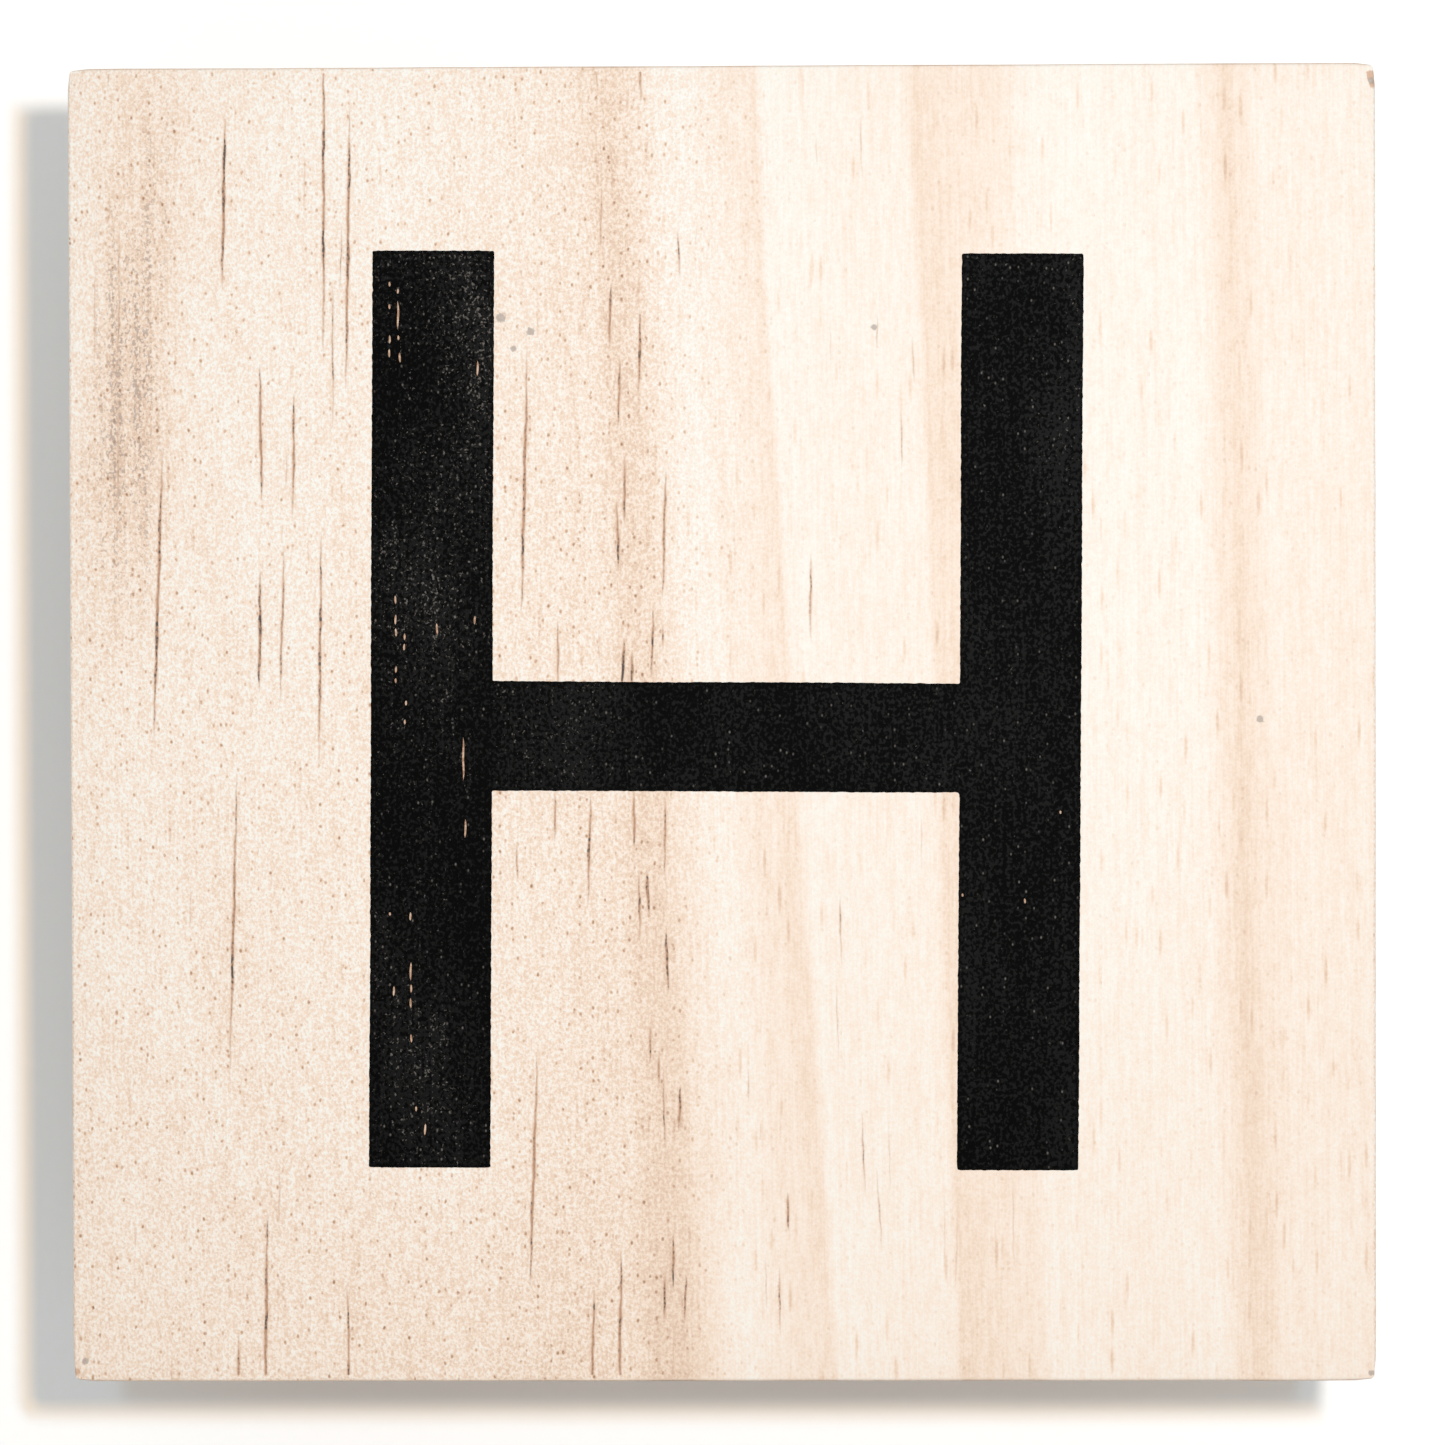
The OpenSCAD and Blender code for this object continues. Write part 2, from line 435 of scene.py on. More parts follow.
def side_profile():
    """The block's right side from top to bottom: places across and up, and outward normals."""
    reach = GROOVE_RADIUS - GROOVE_DEPTH + LIP_RADIUS
    rise = math.sqrt((GROOVE_RADIUS + LIP_RADIUS) ** 2 - reach**2)
    turn = math.atan2(rise, reach)
    quarter = math.pi / 2
    rows = []

    def arc(x, z, radius, start, stop, count, way=1):
        """Adds a round stretch. It is hollow, with its normals inwards, if way is -1."""
        for a in np.linspace(start, stop, count):
            c, s = math.cos(a), math.sin(a)
            rows.append((x + radius * c, z + radius * s, way * c, way * s))

    def flat(start, stop):
        """Adds an upright stretch between two heights."""
        rows.extend((half_width, z, 1.0, 0.0) for z in spaced(start, stop, SIDE_SPACING))

    arc(half_width - EDGE_RADIUS, block_top - EDGE_RADIUS, EDGE_RADIUS, quarter, 0, 8)
    flat(block_top - EDGE_RADIUS, block_middle + rise)
    arc(half_width - LIP_RADIUS, block_middle + rise, LIP_RADIUS, 0, -turn, 5)
    rows.pop()  # the cove starts at the same point
    centre = half_width + GROOVE_RADIUS - GROOVE_DEPTH
    arc(centre, block_middle, GROOVE_RADIUS, math.pi - turn, math.pi + turn, 33, -1)
    rows.pop()  # the lip starts at the same point
    arc(half_width - LIP_RADIUS, block_middle - rise, LIP_RADIUS, turn, 0, 5)
    flat(block_middle - rise, block_bottom + EDGE_RADIUS)
    arc(half_width - EDGE_RADIUS, block_bottom + EDGE_RADIUS, EDGE_RADIUS, 0, -quarter, 8)
    return rows


def end_rounding(distance):
    """How far the edge's quarter round stands back at a distance from the block's end."""
    reach = max(0.0, EDGE_RADIUS - distance)
    return EDGE_RADIUS - math.sqrt(EDGE_RADIUS**2 - reach**2)


def ring_places():
    """Where the block's cross-sections lie along the grain: close together at both ends."""
    near = [EDGE_RADIUS * (1 - math.cos(a)) for a in np.linspace(0, math.pi / 2, 8)]
    inner = half_length - EDGE_RADIUS
    lower = [-half_length + d for d in near]
    return [*lower, *spaced(-inner, inner, GRAIN_SPACING), *(-y for y in reversed(lower))]


def build_block():
    """The block's closed surface. Returns it with the triangles of its top."""
    surface = Surface()
    right = side_profile()
    left = [(-x, z, -nx, nz) for x, z, nx, nz in reversed(right)]
    flat_end = half_width - EDGE_RADIUS
    under = [(x, block_bottom, 0.0, -1.0) for x in spaced(flat_end, -flat_end, END_SPACING)]
    over = [(x, block_top, 0.0, 1.0) for x in spaced(-flat_end, flat_end, GRAIN_SPACING)]
    sides = right + under + left
    section = sides + over
    rings = []
    for y in ring_places():
        distance = half_length - abs(y)
        back = end_rounding(distance)
        rows = sides if distance > EDGE_RADIUS + TINY else section
        rings.append(surface.add([(x - nx * back, y, z - nz * back) for x, z, nx, nz in rows]))
    for ring, following in zip(rings, rings[1:]):
        surface.join(ring, following, closed=len(ring) == len(following) == len(section))

    # The two ends, with a grid of points that keeps clear of the coves
    clear = half_width - GROOVE_DEPTH - 2
    low, high = block_bottom + EDGE_RADIUS, block_top - EDGE_RADIUS
    grid = [
        (x, z) for x in spaced(-flat_end, flat_end, END_SPACING) if abs(x) < clear
        for z in spaced(low, high, END_SPACING)
    ]
    for ring, y in ((rings[0], -half_length), (rings[-1], half_length)):
        surface.fill(ring, lambda p: (p[0], p[2]), lambda x, z, y=y: (x, y, z), grid)

    # The flat of the top: its rim runs round between the rings where the edges' rounding starts
    full = [ring for ring in rings if len(ring) == len(section)]
    first, last = full[len(full) // 2 - 1], full[len(full) // 2]
    between = rings[rings.index(first) + 1:rings.index(last)]
    corner = len(sides)
    rim = [*first[corner - 1:], first[0]]
    rim += [ring[0] for ring in between]
    rim += [last[0], *reversed(last[corner:]), last[corner - 1]]
    rim += [ring[-1] for ring in reversed(between)]

    points, edges = canal_lines()
    for outline in [ink_outline(), *map(dash_outline, BARE_DASHES)]:
        edges += ring_of_edges(len(points), len(outline))
        points += [tuple(p) for p in outline]
    inner_rim = letter_loop(-INK_RIM, outer_radius=0.1, inner_radius=0.1, step=0.6)[0]
    points += [tuple(p) for p in placed_on_block(inner_rim)]
    reach = np.array([half_width - 1, half_length - 1])
    points += loose_grid(-reach, reach, TOP_SPACING, shift=0.3, wave=1.1, seed=9)
    top = surface.fill(rim, lambda p: p[:2], lambda x, y: (x, y, block_top), points, edges)
    return surface, top


def finish_block(surface):
    """Sinks the canals, softens the edges and corners, and returns the layers for the material."""
    points = np.array(surface.points)
    on_top = points[:, 2] > block_top - TINY
    canal = np.where(on_top, canal_field(points), 0)
    bare = np.zeros(len(points))
    for x, upper, lower in BARE_DASHES:
        near = on_top & (np.abs(points[:, 0] - x) < 0.2)
        bare[near & (points[:, 1] < upper + 0.1) & (points[:, 1] > lower - 0.1)] = 1
    points[:, 2] -= CANAL_DEPTH * np.clip((canal - CANAL_BANK) / (1 - CANAL_BANK), 0, 1)

    # The cut ends, which stand out of square, move by their last millimetre
    at_end = np.clip(np.abs(points[:, 1]) - half_length + 1, 0, 1) * np.sign(points[:, 1])
    moved = at_end * OUT_OF_SQUARE * (1 + points[:, 0] / half_width) / 2
    moved += OVERLONG * np.minimum(at_end, 0)

    # The upright corners, then the worn unevenness of all the edges
    inset_x, inset_y = half_width - CORNER_RADIUS, half_length - CORNER_RADIUS
    for i, (x, y, _) in enumerate(points):
        off_x, off_y = abs(x) - inset_x, abs(y) - inset_y
        off = math.hypot(off_x, off_y)
        if off_x > 0 and off_y > 0 and off > CORNER_RADIUS:
            pull = CORNER_RADIUS / off
            points[i, 0] = math.copysign(inset_x + off_x * pull, x)
            points[i, 1] = math.copysign(inset_y + off_y * pull, y)
    middle = np.array([0, 0, block_middle])
    half_size = np.array([half_width, half_length, (block_top - block_bottom) / 2])
    gaps = np.sort(half_size - np.abs(points - middle), 1)
    edge = np.clip(1 - gaps[:, 1] / WEAR_REACH, 0, 1) * np.clip(1 - gaps[:, 0] / WEAR_REACH, 0, 1)
    corner = np.clip(1 - gaps[:, 2] / CORNER_REACH, 0, 1)
    for i in np.flatnonzero(edge > 0):
        x, y, z = points[i]
        wear = 0.02 + 0.02 * ripple(x, y, z, 4.0) + 0.01 * ripple(x, y, z, 0.9, 3.0)
        wear += 0.03 * corner[i]
        inwards = middle - points[i]
        inwards = np.where(np.abs(inwards) > half_size - 1, np.sign(inwards), 0)
        points[i] += wear * edge[i] * inwards
    points[:, 1] += moved
    surface.points = [tuple(p) for p in points]
    return {"canal": canal, "edge": edge, "bare": bare}


def build_print(block, top, outline):
    """The ink: a thin skin over the part of the top that the outline encloses, less the dashes."""
    points = np.array(block.points)
    centres = np.array([points[list(t)].mean(0) for t in top])[:, :2]
    inked = inside(centres, outline)
    for dash in BARE_DASHES:
        inked &= ~inside(centres, dash_outline(dash))
    kept = [t for t, is_inked in zip(top, inked) if is_inked]
    used = sorted({i for t in kept for i in t})
    skin = Surface()
    upper = dict(zip(used, skin.add(points[used] + [0, 0, INK_ABOVE])))
    lower = dict(zip(used, skin.add(points[used] - [0, 0, INK_BELOW])))
    borders = {}  # the edges that only one triangle has, and so need a wall
    for t in kept:
        skin.faces.append(tuple(upper[i] for i in t))
        skin.faces.append(tuple(lower[i] for i in reversed(t)))
        for a, b in zip(t, t[1:] + t[:1]):
            borders[frozenset((a, b))] = None if frozenset((a, b)) in borders else (a, b)
    for a, b in filter(None, borders.values()):
        skin.faces.append((upper[b], upper[a], lower[a], lower[b]))
    depth = np.clip(depth_in_letter(points[used][:, :2]) / INK_RIM, 0, 1)
    return skin, {"depth": np.concatenate([depth, depth])}


# ---------- the pad under the block


def trimmed_outline():
    """The outline that one knife cut gives the die, the films and the foam, and its normals."""
    points, outward = letter_loop(trim_margin, TRIM_OUTER_RADIUS, TRIM_INNER_RADIUS, PAD_STEP)
    wander = [
        0.05 * ripple(x, y, 0, 9.0, 1.0) + 0.02 * ripple(x, y, 0, 1.3, 2.0) - 0.06
        for x, y in points
    ]
    return points + outward * np.array(wander)[:, None], outward


def at_height(points, z):
    """An outline's points, lifted to a height."""
    return [(x, y, z) for x, y in points]


def cap(surface, ring, spacing=None):
    """Closes a level ring, with a grid of points in it if a spacing is given."""
    outline = np.array([surface.points[i][:2] for i in ring])
    z = surface.points[ring[0]][2]
    inner = []
    if spacing:
        low, high = outline.min(0), outline.max(0)
        grid = np.array(loose_grid(low, high, spacing, shift=0.2 * spacing, wave=1.3, seed=7))
        inner = [tuple(p) for p in grid[inside(grid, outline)]]
    before = len(surface.faces)
    triangles = surface.fill(ring, lambda p: p[:2], lambda x, y: (x, y, z), inner)
    centres = np.array([np.mean([surface.points[i][:2] for i in t], 0) for t in triangles])
    keep = inside(centres, outline)
    surface.faces[before:] = [t for t, is_kept in zip(triangles, keep) if is_kept]


def close_stack(surface, rings, spacing=None):
    """Joins a pad piece's rings from the bottom up, and caps the lowest and the highest."""
    for ring, following in zip(rings, rings[1:]):
        surface.join(ring, following)
    cap(surface, rings[0], spacing)
    cap(surface, rings[-1])


def film(name, z_low, z_high, material, body, node):
    """A sheet of mounting film, whose cut edge bulges a little."""
    points, outward = trimmed_outline()
    surface = Surface()
    rings = []
    for share, bulge in ((0, 0.0), (0.25, 0.03), (0.75, 0.03), (1, 0.0)):
        z = z_low + share * (z_high - z_low)
        rings.append(surface.add(at_height(points + outward * bulge, z)))
    close_stack(surface, rings)
    piece = surface.piece(name, material)
    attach(piece, body)
    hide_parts(node)


def foam():
    """The cushion: knife-cut closed-cell foam, with its opened cells all round the edge."""
    points, outward = trimmed_outline()
    surface = Surface()
    thickness = foam_top - foam_bottom
    rings = []
    for z in np.linspace(foam_bottom, foam_top, FOAM_RINGS):
        share = (z - foam_bottom) / thickness
        between_films = min(share, 1 - share) > TINY
        ring = []
        for (x, y), (nx, ny) in zip(points, outward):
            push = -FOAM_WAIST * math.sin(math.pi * share)
            if between_films:
                to_cell = noise.voronoi(Vector((x, y, z)) / CELL_SIZE)[0][0]
                push -= CELL_DEPTH * max(0.0, 1 - to_cell / 0.45) ** 0.6
                push += 0.03 * ripple(x, y, z, 0.3)
            ring.append((x + nx * push, y + ny * push, z))
        rings.append(surface.add(ring))
    close_stack(surface, rings)
    piece = surface.piece("cushion", foam_material(), crease=60)
    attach(piece, "block")
    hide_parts("foam_cushion")
    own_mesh(piece)


def die_rings():
    """The moulded letter's rings from the printing face up: growth of the outline, and height."""
    rings = []
    for a in np.linspace(0, math.pi / 2, 4):
        rings.append((-FACE_ROUND * (1 - math.sin(a)), FACE_ROUND * (1 - math.cos(a))))
    wall_top = RELIEF_HEIGHT - FOOT_ROUND
    slope = math.tan(RELIEF_DRAFT)
    rings += [(z * slope, z) for z in np.linspace(FACE_ROUND, wall_top, 9)[1:]]
    for a in np.linspace(RELIEF_DRAFT, math.pi / 2, 6)[1:]:
        out = FOOT_ROUND * (math.cos(RELIEF_DRAFT) - math.cos(a))
        up = FOOT_ROUND * (math.sin(a) - math.sin(RELIEF_DRAFT)) / (1 - math.sin(RELIEF_DRAFT))
        rings.append((wall_top * slope + out, wall_top + up))
    return rings


def die():
    """The rubber die: the raised letter on its web, moulded, then trimmed with a knife."""
    surface = Surface()
    rings = []
    for grow, z in die_rings():
        radius = 0.1 + 0.12 * z
        points, outward = letter_loop(grow, radius, radius, PAD_STEP)
        tremble = [0.008 * ripple(x, y, 3 * z, 0.8) for x, y in points]
        rings.append(surface.add(at_height(points + outward * np.array(tremble)[:, None], z)))

    # The web: its flat round the letter, then its cut edge, as insets and heights above the flat
    trimmed, outward = trimmed_outline()
    web = die_top - RELIEF_HEIGHT
    for inset, up in ((0.7, 0), (0.06, 0), (0.01, 0.03), (0, 0.1), (0.03, 0.45), (0, web)):
        rings.append(surface.add(at_height(trimmed - outward * inset, RELIEF_HEIGHT + up)))
    close_stack(surface, rings, spacing=0.9)
    face = np.clip(1 - np.array(surface.points)[:, 2] / FACE_DEPTH, 0, 1)
    piece = surface.piece("die", rubber_material(), {"face": face}, crease=50)
    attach(piece, "die")
    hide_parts("rubber_die")


# ---------- materials


def colour(red, green, blue):
    """A colour as it is seen, from 0 to 255, as the light it reflects."""
    seen = [c / 255 for c in (red, green, blue)]
    return [((c + 0.055) / 1.055) ** 2.4 if c > 0.04045 else c / 12.92 for c in seen] + [1.0]


class Shade:
    """Adds nodes to one material. Each method returns the socket that carries its result."""

    def __init__(self, name, roughness, specular):
        self.material = bpy.data.materials.new(name)
        self.material.use_nodes = True
        self.tree = self.material.node_tree
        self.surface = self.tree.nodes["Principled BSDF"]
        self.surface.inputs["Roughness"].default_value = roughness
        self.surface.inputs["Specular IOR Level"].default_value = specular
        self.place = self.stretched(MM, MM, MM, self.coordinates("Object"))

    def coordinates(self, kind):
        """The place or the normal of a point on the surface."""
        return self.add("ShaderNodeTexCoord", {}, kind)

    def add(self, kind, inputs, output=0, **settings):
        """Adds any node. Its inputs are sockets, which are linked, or plain values."""
        node = self.tree.nodes.new(kind)
        for key, value in settings.items():
            setattr(node, key, value)
        for key, value in inputs.items():
            if isinstance(value, bpy.types.NodeSocket):
                self.tree.links.new(value, node.inputs[key])
            else:
                node.inputs[key].default_value = value
        return node.outputs[output]

    def calc(self, operation, a, b=0.0, c=0.0):
        """One sum with up to three values or numbers."""
        return self.add("ShaderNodeMath", {0: a, 1: b, 2: c}, operation=operation)

    def total(self, *terms):
        """The sum of values, (value, weight) terms and plain numbers."""
        result = sum((term for term in terms if isinstance(term, float)), 0.0)
        for term in terms:
            if isinstance(term, tuple):
                result = self.calc("MULTIPLY_ADD", term[0], term[1], result)
            elif not isinstance(term, float):
                result = self.calc("ADD", result, term)
        return result

    def product(self, first, *others):
        """The product of values and numbers."""
        result = first
        for other in others:
            result = self.calc("MULTIPLY", result, other)
        return result

    def split(self, vector):
        """A vector's three parts."""
        node = self.add("ShaderNodeSeparateXYZ", {0: vector}).node
        return node.outputs[0], node.outputs[1], node.outputs[2]

    def vector(self, x, y, z):
        """The vector with these three parts."""
        return self.add("ShaderNodeCombineXYZ", {0: x, 1: y, 2: z})

    def stretched(self, x, y, z, vector=None):
        """The place, measured in grains of this size across, along and up."""
        inputs = {0: vector or self.place, 1: (1 / x, 1 / y, 1 / z)}
        return self.add("ShaderNodeVectorMath", inputs, operation="MULTIPLY")

    def noise(self, vector, detail=2.0, rough=0.5, twist=0.0):
        """Cloudy noise from 0 to 1, about 0.5 on average."""
        inputs = {"Vector": vector, "Scale": 1.0, "Detail": detail}
        inputs.update({"Roughness": rough, "Distortion": twist})
        return self.add("ShaderNodeTexNoise", inputs)

    def spots(self, vector, radius):
        """Scattered round spots of differing strength, from 1 at the strongest to 0 outside."""
        node = self.add("ShaderNodeTexVoronoi", {"Vector": vector, "Scale": 1.0}).node
        strength = self.ease(self.split(node.outputs["Color"])[0], 0.3, 0.95)
        return self.calc("MULTIPLY", self.ease(node.outputs["Distance"], radius, radius / 4), strength)

    def ease(self, value, low, high):
        """Goes smoothly from 0 at low to 1 at high, whichever of the two is the larger."""
        if low > high:
            return self.calc("SUBTRACT", 1.0, self.ease(value, high, low))
        inputs = {"Value": value, "From Min": low, "From Max": high}
        return self.add("ShaderNodeMapRange", inputs, interpolation_type="SMOOTHSTEP")

    def layer(self, name):
        """A layer of values that the piece's mesh carries."""
        return self.add("ShaderNodeAttribute", {}, "Fac", attribute_name=name)

    def ramp(self, value, stops):
        """A colour for a value, from stops of (value, colour)."""
        node = self.add("ShaderNodeValToRGB", {0: value}).node
        elements = node.color_ramp.elements
        elements[0].position, elements[0].color = stops[0]
        elements[1].position, elements[1].color = stops[-1]
        for position, tone in stops[1:-1]:
            elements.new(position).color = tone
        return node.outputs[0]

    def mix(self, share, a, b):
        """Goes from colour a at a share of 0 to colour b at 1."""
        inputs = {0: share, 6: a, 7: b}
        return self.add("ShaderNodeMix", inputs, 2, data_type="RGBA")

    def bump(self, height, distance):
        """Gives the surface a fine relief: a height of 1 stands for this distance."""
        inputs = {"Strength": 1.0, "Distance": distance * MM, "Height": height}
        normal = self.add("ShaderNodeBump", inputs)
        self.tree.links.new(normal, self.surface.inputs["Normal"])

    def paint(self, tone, roughness=None):
        """Gives the surface its colour and roughness, and returns the finished material."""
        self.tree.links.new(tone, self.surface.inputs["Base Color"])
        if roughness is not None:
            self.tree.links.new(roughness, self.surface.inputs["Roughness"])
        return self.material


# How dark the wood is at distances from the pith: 0 is the palest wood there is, 1 the darkest
RING_TONES = [
    (0.0, 0.24), (8.4, 0.48), (8.6, 0.22), (15.4, 0.50), (15.6, 0.22), (22.4, 0.46), (22.6, 0.20),
    (31.5, 0.21), (35.0, 0.20), (40.9, 0.27), (41.6, 0.39), (42.7, 0.39), (43.3, 0.28), (44.2, 0.20),
    (45.2, 0.14), (46.4, 0.22), (48.9, 0.31), (49.1, 0.14), (53.0, 0.17), (55.6, 0.17), (55.75, 0.35),
    (57.5, 0.28), (60.1, 0.24), (60.4, 0.16), (62.5, 0.14), (69.3, 0.14), (69.9, 0.20), (71.3, 0.37),
    (72.3, 0.27), (73.0, 0.21), (79.0, 0.20),
]
RING_REACH = 80.0

# The wood's colours from palest to darkest
PINE_TONES = [
    (0.00, colour(232, 229, 225)), (0.10, colour(229, 225, 217)), (0.20, colour(229, 218, 207)),
    (0.30, colour(228, 210, 195)), (0.42, colour(221, 199, 180)), (0.57, colour(209, 182, 161)),
    (0.77, colour(188, 155, 130)), (1.00, colour(151, 113, 87)),
]


def pine_rings(s):
    """The rings' darkness and radius, how flat-sawn a face is, and how much of it is end grain."""
    x, y, z = s.split(s.place)
    normal_x, normal_y, normal_z = s.split(s.coordinates("Normal"))
    off = s.calc("ABSOLUTE", s.total(x, -SWING_X))
    nearness = s.calc("MAXIMUM", s.total((off, -1 / SWING_REACH), 1.0), 0.0)
    across = s.total(x, (s.product(nearness, y), SWING_SLOPE), -PITH_X)
    height = s.total((y, PITH_TILT), z, PITH_DEPTH - block_top)
    distance = s.calc("SQRT", s.total((across, across), (height, height)))
    uneven = s.noise(s.stretched(9, 50, 9), 3.0)
    radius = s.total(distance, uneven, -0.5)
    ring_stops = [(r / RING_REACH, (t, t, t, 1.0)) for r, t in RING_TONES]
    ring = s.ramp(s.product(radius, 1 / RING_REACH), ring_stops)

    outward_x, outward_z = s.calc("DIVIDE", across, distance), s.calc("DIVIDE", height, distance)
    facing = s.calc("ABSOLUTE", s.total((normal_x, outward_x), (normal_z, outward_z)))
    flat_sawn = s.ease(facing, 0.6, 0.74)
    end_grain = s.ease(s.calc("ABSOLUTE", normal_y), 0.55, 0.85)
    return ring, radius, flat_sawn, end_grain


def left_stain(s):
    """A stained streak near the left edge, its upright rows, and the dark dots in them."""
    x, y, z = s.split(s.place)
    beside = s.ease(s.calc("ABSOLUTE", s.total(x, (y, -0.05), 35.4)), 3.6, 0.4)
    along = s.product(s.ease(y, -2.0, 16.0), s.ease(y, 48.0, 20.0))
    stain = s.product(beside, along, s.ease(z, 16.0, block_top))
    rows = s.noise(s.stretched(0.5, 14, 20), 2.0)
    grains = s.noise(s.stretched(0.15, 0.21, 0.15), 1.0)
    pepper = s.product(s.ease(s.total(grains, (rows, 0.5), (stain, 0.16)), 0.95, 1.06), stain)
    return stain, rows, pepper


def with_resin(s, wood):
    """The wood with its canals' resin, from tan to nearly black, and how much that covers."""
    flow = s.noise(s.stretched(0.5, 2.2, 0.5), 3.0, 0.6)
    grit = s.noise(s.stretched(0.16, 0.2, 0.16), 1.0)
    soaked = s.product(s.layer("canal"), s.total((flow, 1.6), (grit, 0.7), -0.15))
    halo = s.ease(soaked, 0.04, 0.45)
    core = s.ease(soaked, 0.3, 0.75)
    clots = s.ease(s.total(flow, (grit, 0.6)), 0.78, 1.0)
    resin = s.mix(clots, colour(180, 142, 116), colour(92, 82, 78))
    edged = s.mix(s.product(halo, 0.7), wood, colour(204, 174, 151))
    return s.mix(core, edged, resin), core


def with_smudges(s, tone):
    """The wood with its torn spots and smudges, ragged where they fade out."""
    ragged = s.noise(s.stretched(0.25, 0.3, 0.25), 3.0, 0.7)
    for spots, spot_colour in ((TORN_SPOTS, colour(190, 146, 112)), (SMUDGES, colour(158, 146, 138))):
        closeness = 0.0
        for spot_x, spot_y, radius in spots:
            inputs = {0: s.place, 1: (spot_x, spot_y, block_top)}
            away = s.add("ShaderNodeVectorMath", inputs, "Value", operation="DISTANCE")
            closeness = s.calc("MAXIMUM", closeness, s.ease(away, radius, 0.0))
        marked = s.ease(s.total((closeness, 0.75), ragged), 0.78, 1.05)
        tone = s.mix(s.product(marked, 0.75), tone, spot_colour)
    return tone


def pine_material():
    """Sanded pine: rings round a pith, fibres along the grain, and resin in the opened canals."""
    s = Shade("pine", 0.62, 0.35)
    _, y, _ = s.split(s.place)
    ring, radius, flat_sawn, end_grain = pine_rings(s)
    stain, rows, pepper = left_stain(s)

    # Lines that follow the rings, fibres, fine mottling and broad patches
    lines = s.noise(s.vector(s.product(radius, 1 / 0.5), s.product(y, 1 / 30), 0.0), 4.0, 0.7)
    fibres = s.noise(s.stretched(0.14, 4.0, 0.14), 2.0)
    worms = s.ease(s.noise(s.stretched(0.15, 0.18, 0.15), 1.0, 0.5, 0.3), 0.28, 0.72)
    blots = s.ease(s.noise(s.stretched(0.4, 1.2, 0.4), 2.0), 0.35, 0.7)
    broad = s.noise(s.stretched(14, 40, 14), 2.0)

    # Dots and dashes, of which the cut ends have neither, and the cut ends' pores
    dots = s.spots(s.stretched(0.36, 0.52, 0.36), 0.34)
    dashes = s.spots(s.stretched(0.48, 3.8, 0.48), 0.32)
    pores = s.noise(s.stretched(0.09, 1.5, 0.09), 2.0, 0.6)
    long_grain = s.calc("SUBTRACT", 1.0, end_grain)
    worm_weight = s.product(s.total((flat_sawn, 0.21), 0.1), long_grain)
    dot_weight = s.product(s.total((flat_sawn, 0.42), 0.1), long_grain)
    dash_weight = s.product(s.total((flat_sawn, -0.09), 0.24), long_grain)

    def varied(value, weight):
        """A term that darkens some of the wood and makes the rest paler by as much."""
        return s.calc("SUBTRACT", value, 0.5), weight

    dark = s.total(
        ring,
        varied(lines, 0.22),
        varied(fibres, 0.19),
        varied(worms, worm_weight),
        varied(blots, 0.06),
        varied(rows, s.product(stain, 0.25)),
        varied(broad, 0.16),
        (dots, dot_weight),
        (dashes, dash_weight),
        (s.product(end_grain, s.total(ring, (pores, 0.5), -0.1)), 0.7),
        (s.layer("edge"), 0.02),
        (stain, 0.2),
        (s.layer("bare"), 0.58),
        # Painted shade: the wood grows darker towards the near end, where the light falls off, and
        # flat-sawn wood more so over the near end's last twelve millimetres
        (s.product(flat_sawn, s.ease(y, -22.0, -34.0)), 0.045),
        (y, -0.0009),
        0.035,
    )
    wood = s.mix(s.product(pepper, 0.7), s.ramp(dark, PINE_TONES), colour(158, 140, 130))
    stained, core = with_resin(s, wood)
    tone = with_smudges(s, stained)

    s.bump(s.total(
        (fibres, -0.4),
        (s.product(worms, worm_weight), -1.5),
        (lines, -0.2),
        (dots, -0.4),
        (s.product(pores, end_grain), -1.0),
    ), 0.04)
    return s.paint(tone, s.total(0.66, (ring, -0.15), (fibres, 0.08), (core, -0.12)))


def ink_material():
    """Matt black ink over wood: blotchy, pin-holed on the fibres, and dense along its rim."""
    s = Shade("black_ink", 0.6, 0.035)
    x, y, _ = s.split(s.place)
    depth = s.layer("depth")
    worms = s.noise(s.stretched(0.2, 0.23, 0.2), 1.0, 0.5, 0.4)
    grain = s.noise(s.stretched(0.25, 7.0, 0.25), 3.0, 0.6)
    patches = s.noise(s.stretched(6.0, 14.0, 6.0), 2.0)
    thin = s.ease(s.total(worms, (grain, 0.3), (patches, 0.4), -0.35), 0.44, 0.62)
    base = s.mix(s.product(thin, depth), colour(0, 0, 0), colour(17, 17, 17))

    # Bare specks and pinholes, of which there are more to the left and at the letter's top
    wear = s.total((patches, 0.6), (s.ease(x, 0.0, -18.0), 0.16), (y, 0.0025), -0.3)
    fine = s.noise(s.stretched(0.15, 0.18, 0.15), 2.0, 0.5, 0.5)
    specks = s.product(s.spots(s.stretched(0.42, 0.6, 0.42), 0.2), 0.7)
    pinholes = s.product(s.ease(s.total(fine, (wear, 0.5), (grain, 0.15)), 0.78, 0.94), 0.8)
    bare = s.product(s.calc("MAXIMUM", specks, pinholes), depth)
    tone = s.mix(bare, base, colour(112, 107, 102))
    s.bump(s.total((worms, 0.5), (grain, 0.5), (bare, -0.8)), 0.03)
    return s.paint(tone, s.total(0.62, (thin, -0.12)))


def film_material():
    """Milky double-sided film."""
    s = Shade("adhesive_film", 0.3, 0.5)
    haze = s.noise(s.stretched(1.5, 1.5, 0.5), 3.0)
    tone = s.mix(haze, colour(206, 202, 188), colour(232, 230, 220))
    s.bump(haze, 0.02)
    return s.paint(tone, s.total(0.25, (haze, 0.2)))


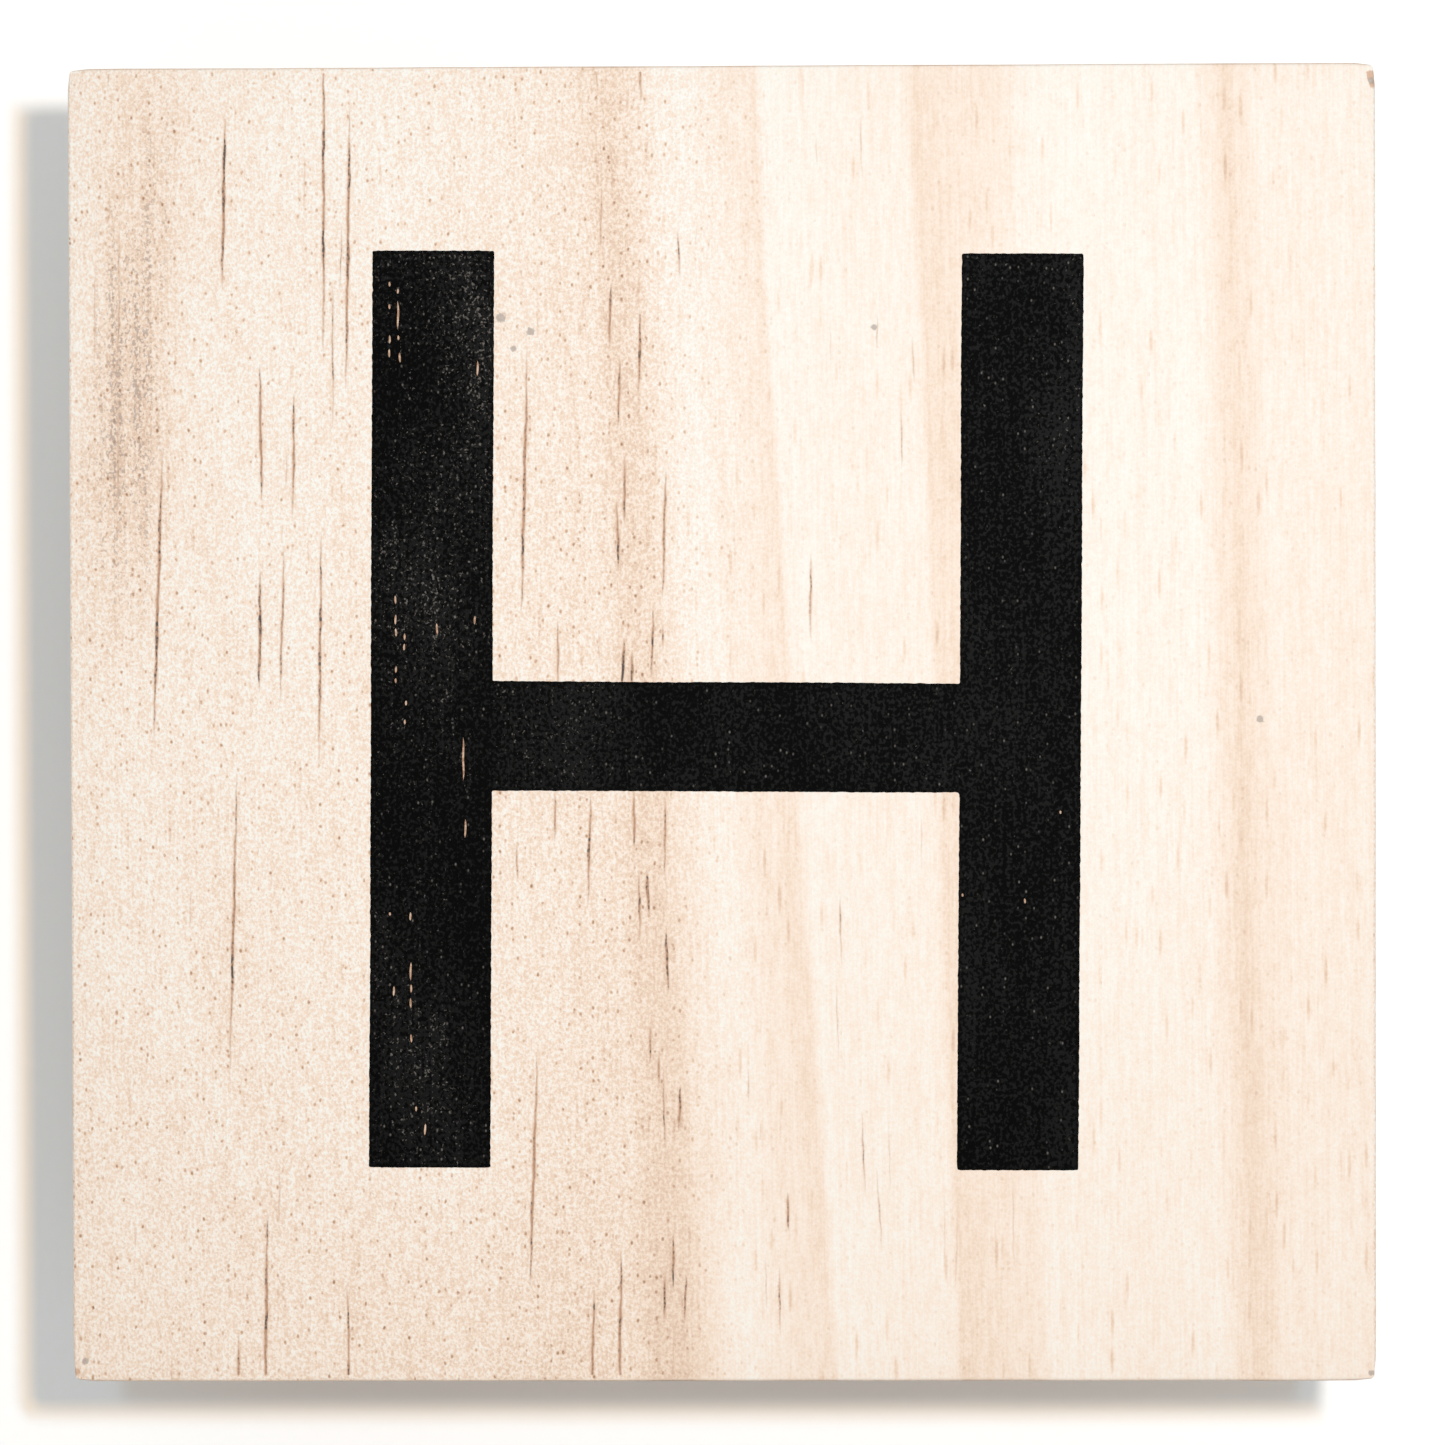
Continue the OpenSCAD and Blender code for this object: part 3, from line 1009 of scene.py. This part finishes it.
def foam_material():
    """Closed-cell foam: pale grey walls, with hollows where the knife opened cells, darkened by
    painted shade.
    """
    s = Shade("cushion_foam", 0.85, 0.3)
    cells = s.add("ShaderNodeTexVoronoi", {"Vector": s.stretched(0.22, 0.22, 0.22), "Scale": 1.0})
    fine = s.noise(s.stretched(0.08, 0.08, 0.08), 2.0)
    broad = s.noise(s.stretched(6.0, 6.0, 6.0), 2.0)
    # The opened cells' hollows: a bump, and a darker colour that is painted shade
    hollow = s.ease(cells, 0.55, 0.1)
    tone = s.mix(s.total((hollow, 0.7), (fine, 0.3)), colour(214, 213, 208), colour(160, 159, 154))
    tone = s.mix(s.product(broad, 0.3), tone, colour(196, 194, 186))
    s.bump(s.total((hollow, -1.0), (fine, 0.3)), 0.08)
    return s.paint(tone)


def rubber_material():
    """Red moulded rubber: a soft sheen, a dusty bloom on the walls, and ink left on the face."""
    s = Shade("die_rubber", 0.45, 0.4)
    mottle = s.noise(s.stretched(2.5, 2.5, 2.5), 4.0, 0.6)
    fine = s.noise(s.stretched(0.12, 0.12, 0.12), 3.0, 0.6)
    red = s.mix(mottle, colour(146, 48, 40), colour(168, 66, 54))
    bloom = s.ease(s.noise(s.stretched(0.7, 0.7, 0.4), 3.0, 0.6), 0.52, 0.75)
    dusty = s.mix(s.product(bloom, 0.25), red, colour(205, 150, 138))
    residue = s.ease(s.total(s.noise(s.stretched(3.0, 5.0, 3.0), 5.0, 0.65), (fine, 0.25)), 0.5, 0.78)
    inked = s.product(residue, s.layer("face"), 0.35)
    tone = s.mix(inked, dusty, colour(38, 22, 22))
    s.bump(s.total((fine, 0.6), (mottle, 0.4)), 0.02)
    return s.paint(tone, s.total(0.42, (bloom, 0.25), (fine, 0.08)))


def floor_material():
    """Plain white paper."""
    s = Shade("paper", 0.9, 0.2)
    tooth = s.noise(s.stretched(0.8, 0.8, 0.8), 3.0)
    return s.paint(s.mix(tooth, colour(252, 252, 252), colour(255, 255, 255)))


# ---------- the pieces

block_surface, top_faces = build_block()
block_layers = finish_block(block_surface)
block = block_surface.piece("block", pine_material(), block_layers, crease=16)
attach(block, "block")
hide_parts("wood_block")

print_surface, print_layers = build_print(block_surface, top_faces, ink_outline())
index_letter = print_surface.piece("index_letter", ink_material(), print_layers, crease=16)
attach(index_letter, "block")
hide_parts("index_print")

mounting_film = film_material()
film("block_film", foam_top, block_bottom, mounting_film, "block", "block_adhesive")
film("die_film", die_top, foam_bottom, mounting_film, "die", "die_adhesive")
foam()
die()

# ---------- stage, light and camera

FLOOR_SIZE = 4000
FLOOR_DROP = 0.02  # keeps the floor out of the printing face's own plane
bpy.ops.mesh.primitive_plane_add(size=FLOOR_SIZE * MM, location=(0, 0, -FLOOR_DROP * MM))
floor = bpy.context.object
floor.name = "floor"
floor.data.materials.append(floor_material())

scene = bpy.context.scene
scene.view_settings.view_transform = "Standard"
world = bpy.data.worlds.new("studio")
scene.world = world
world.use_nodes = True
world.node_tree.nodes["Background"].inputs["Color"].default_value = (0.512, 0.497, 0.472, 1.0)


def hang(name, lamp, toward):
    """Turns a lamp so that it shines from this direction."""
    made = bpy.data.objects.new(name, lamp)
    made.rotation_mode = "QUATERNION"
    made.rotation_quaternion = Vector(toward).to_track_quat("Z", "Y")
    made.visible_camera = False
    scene.collection.objects.link(made)
    return made


def key_light(name, watts, tone, place):
    """Half of the key light: a soft oval lamp above, a little behind the stamp and to its right."""
    lamp = bpy.data.lights.new(name, "AREA")
    lamp.shape = "ELLIPSE"
    lamp.size, lamp.size_y = 17 * MM, 7 * MM
    lamp.energy = watts
    lamp.color = tone
    hang(name, lamp, place).location = Vector(place) * MM


# The cooler half hangs lower and so throws a larger shadow, which leaves a warm fringe
key_light("key_warm", 0.285, (1.0, 0.62, 0.25), (32.5, 24.8, 282))
key_light("key_cool", 0.297, (0.48, 0.74, 1.0), (33, 25.0, 257.5))

fill = bpy.data.lights.new("fill", "SUN")
fill.energy = 0.39
fill.color = (0.51, 0.8, 1.0)
fill.angle = math.radians(3)
hang("fill", fill, (0.04, 0.232, 1))

# Straight above, turned and tilted by the little that the view shows
LENS = 100.0  # focal length
SENSOR = 36.0
FIELD = 83.94  # how much of the block's top plane the view spans
TILT = math.radians(0.7)
ROLL = math.radians(0.16)
AIM = Vector((-0.03, 0.07, block_top)) * MM
camera_data = bpy.data.cameras.new("camera")
camera_data.lens = LENS
camera_data.sensor_width = SENSOR
camera_data.clip_start = 10 * MM
camera = bpy.data.objects.new("camera", camera_data)
scene.collection.objects.link(camera)
distance = FIELD * LENS / SENSOR * MM
camera.location = AIM + distance * Vector((0, math.sin(TILT), math.cos(TILT)))
camera.rotation_euler = (-TILT, 0, -ROLL)
scene.camera = camera
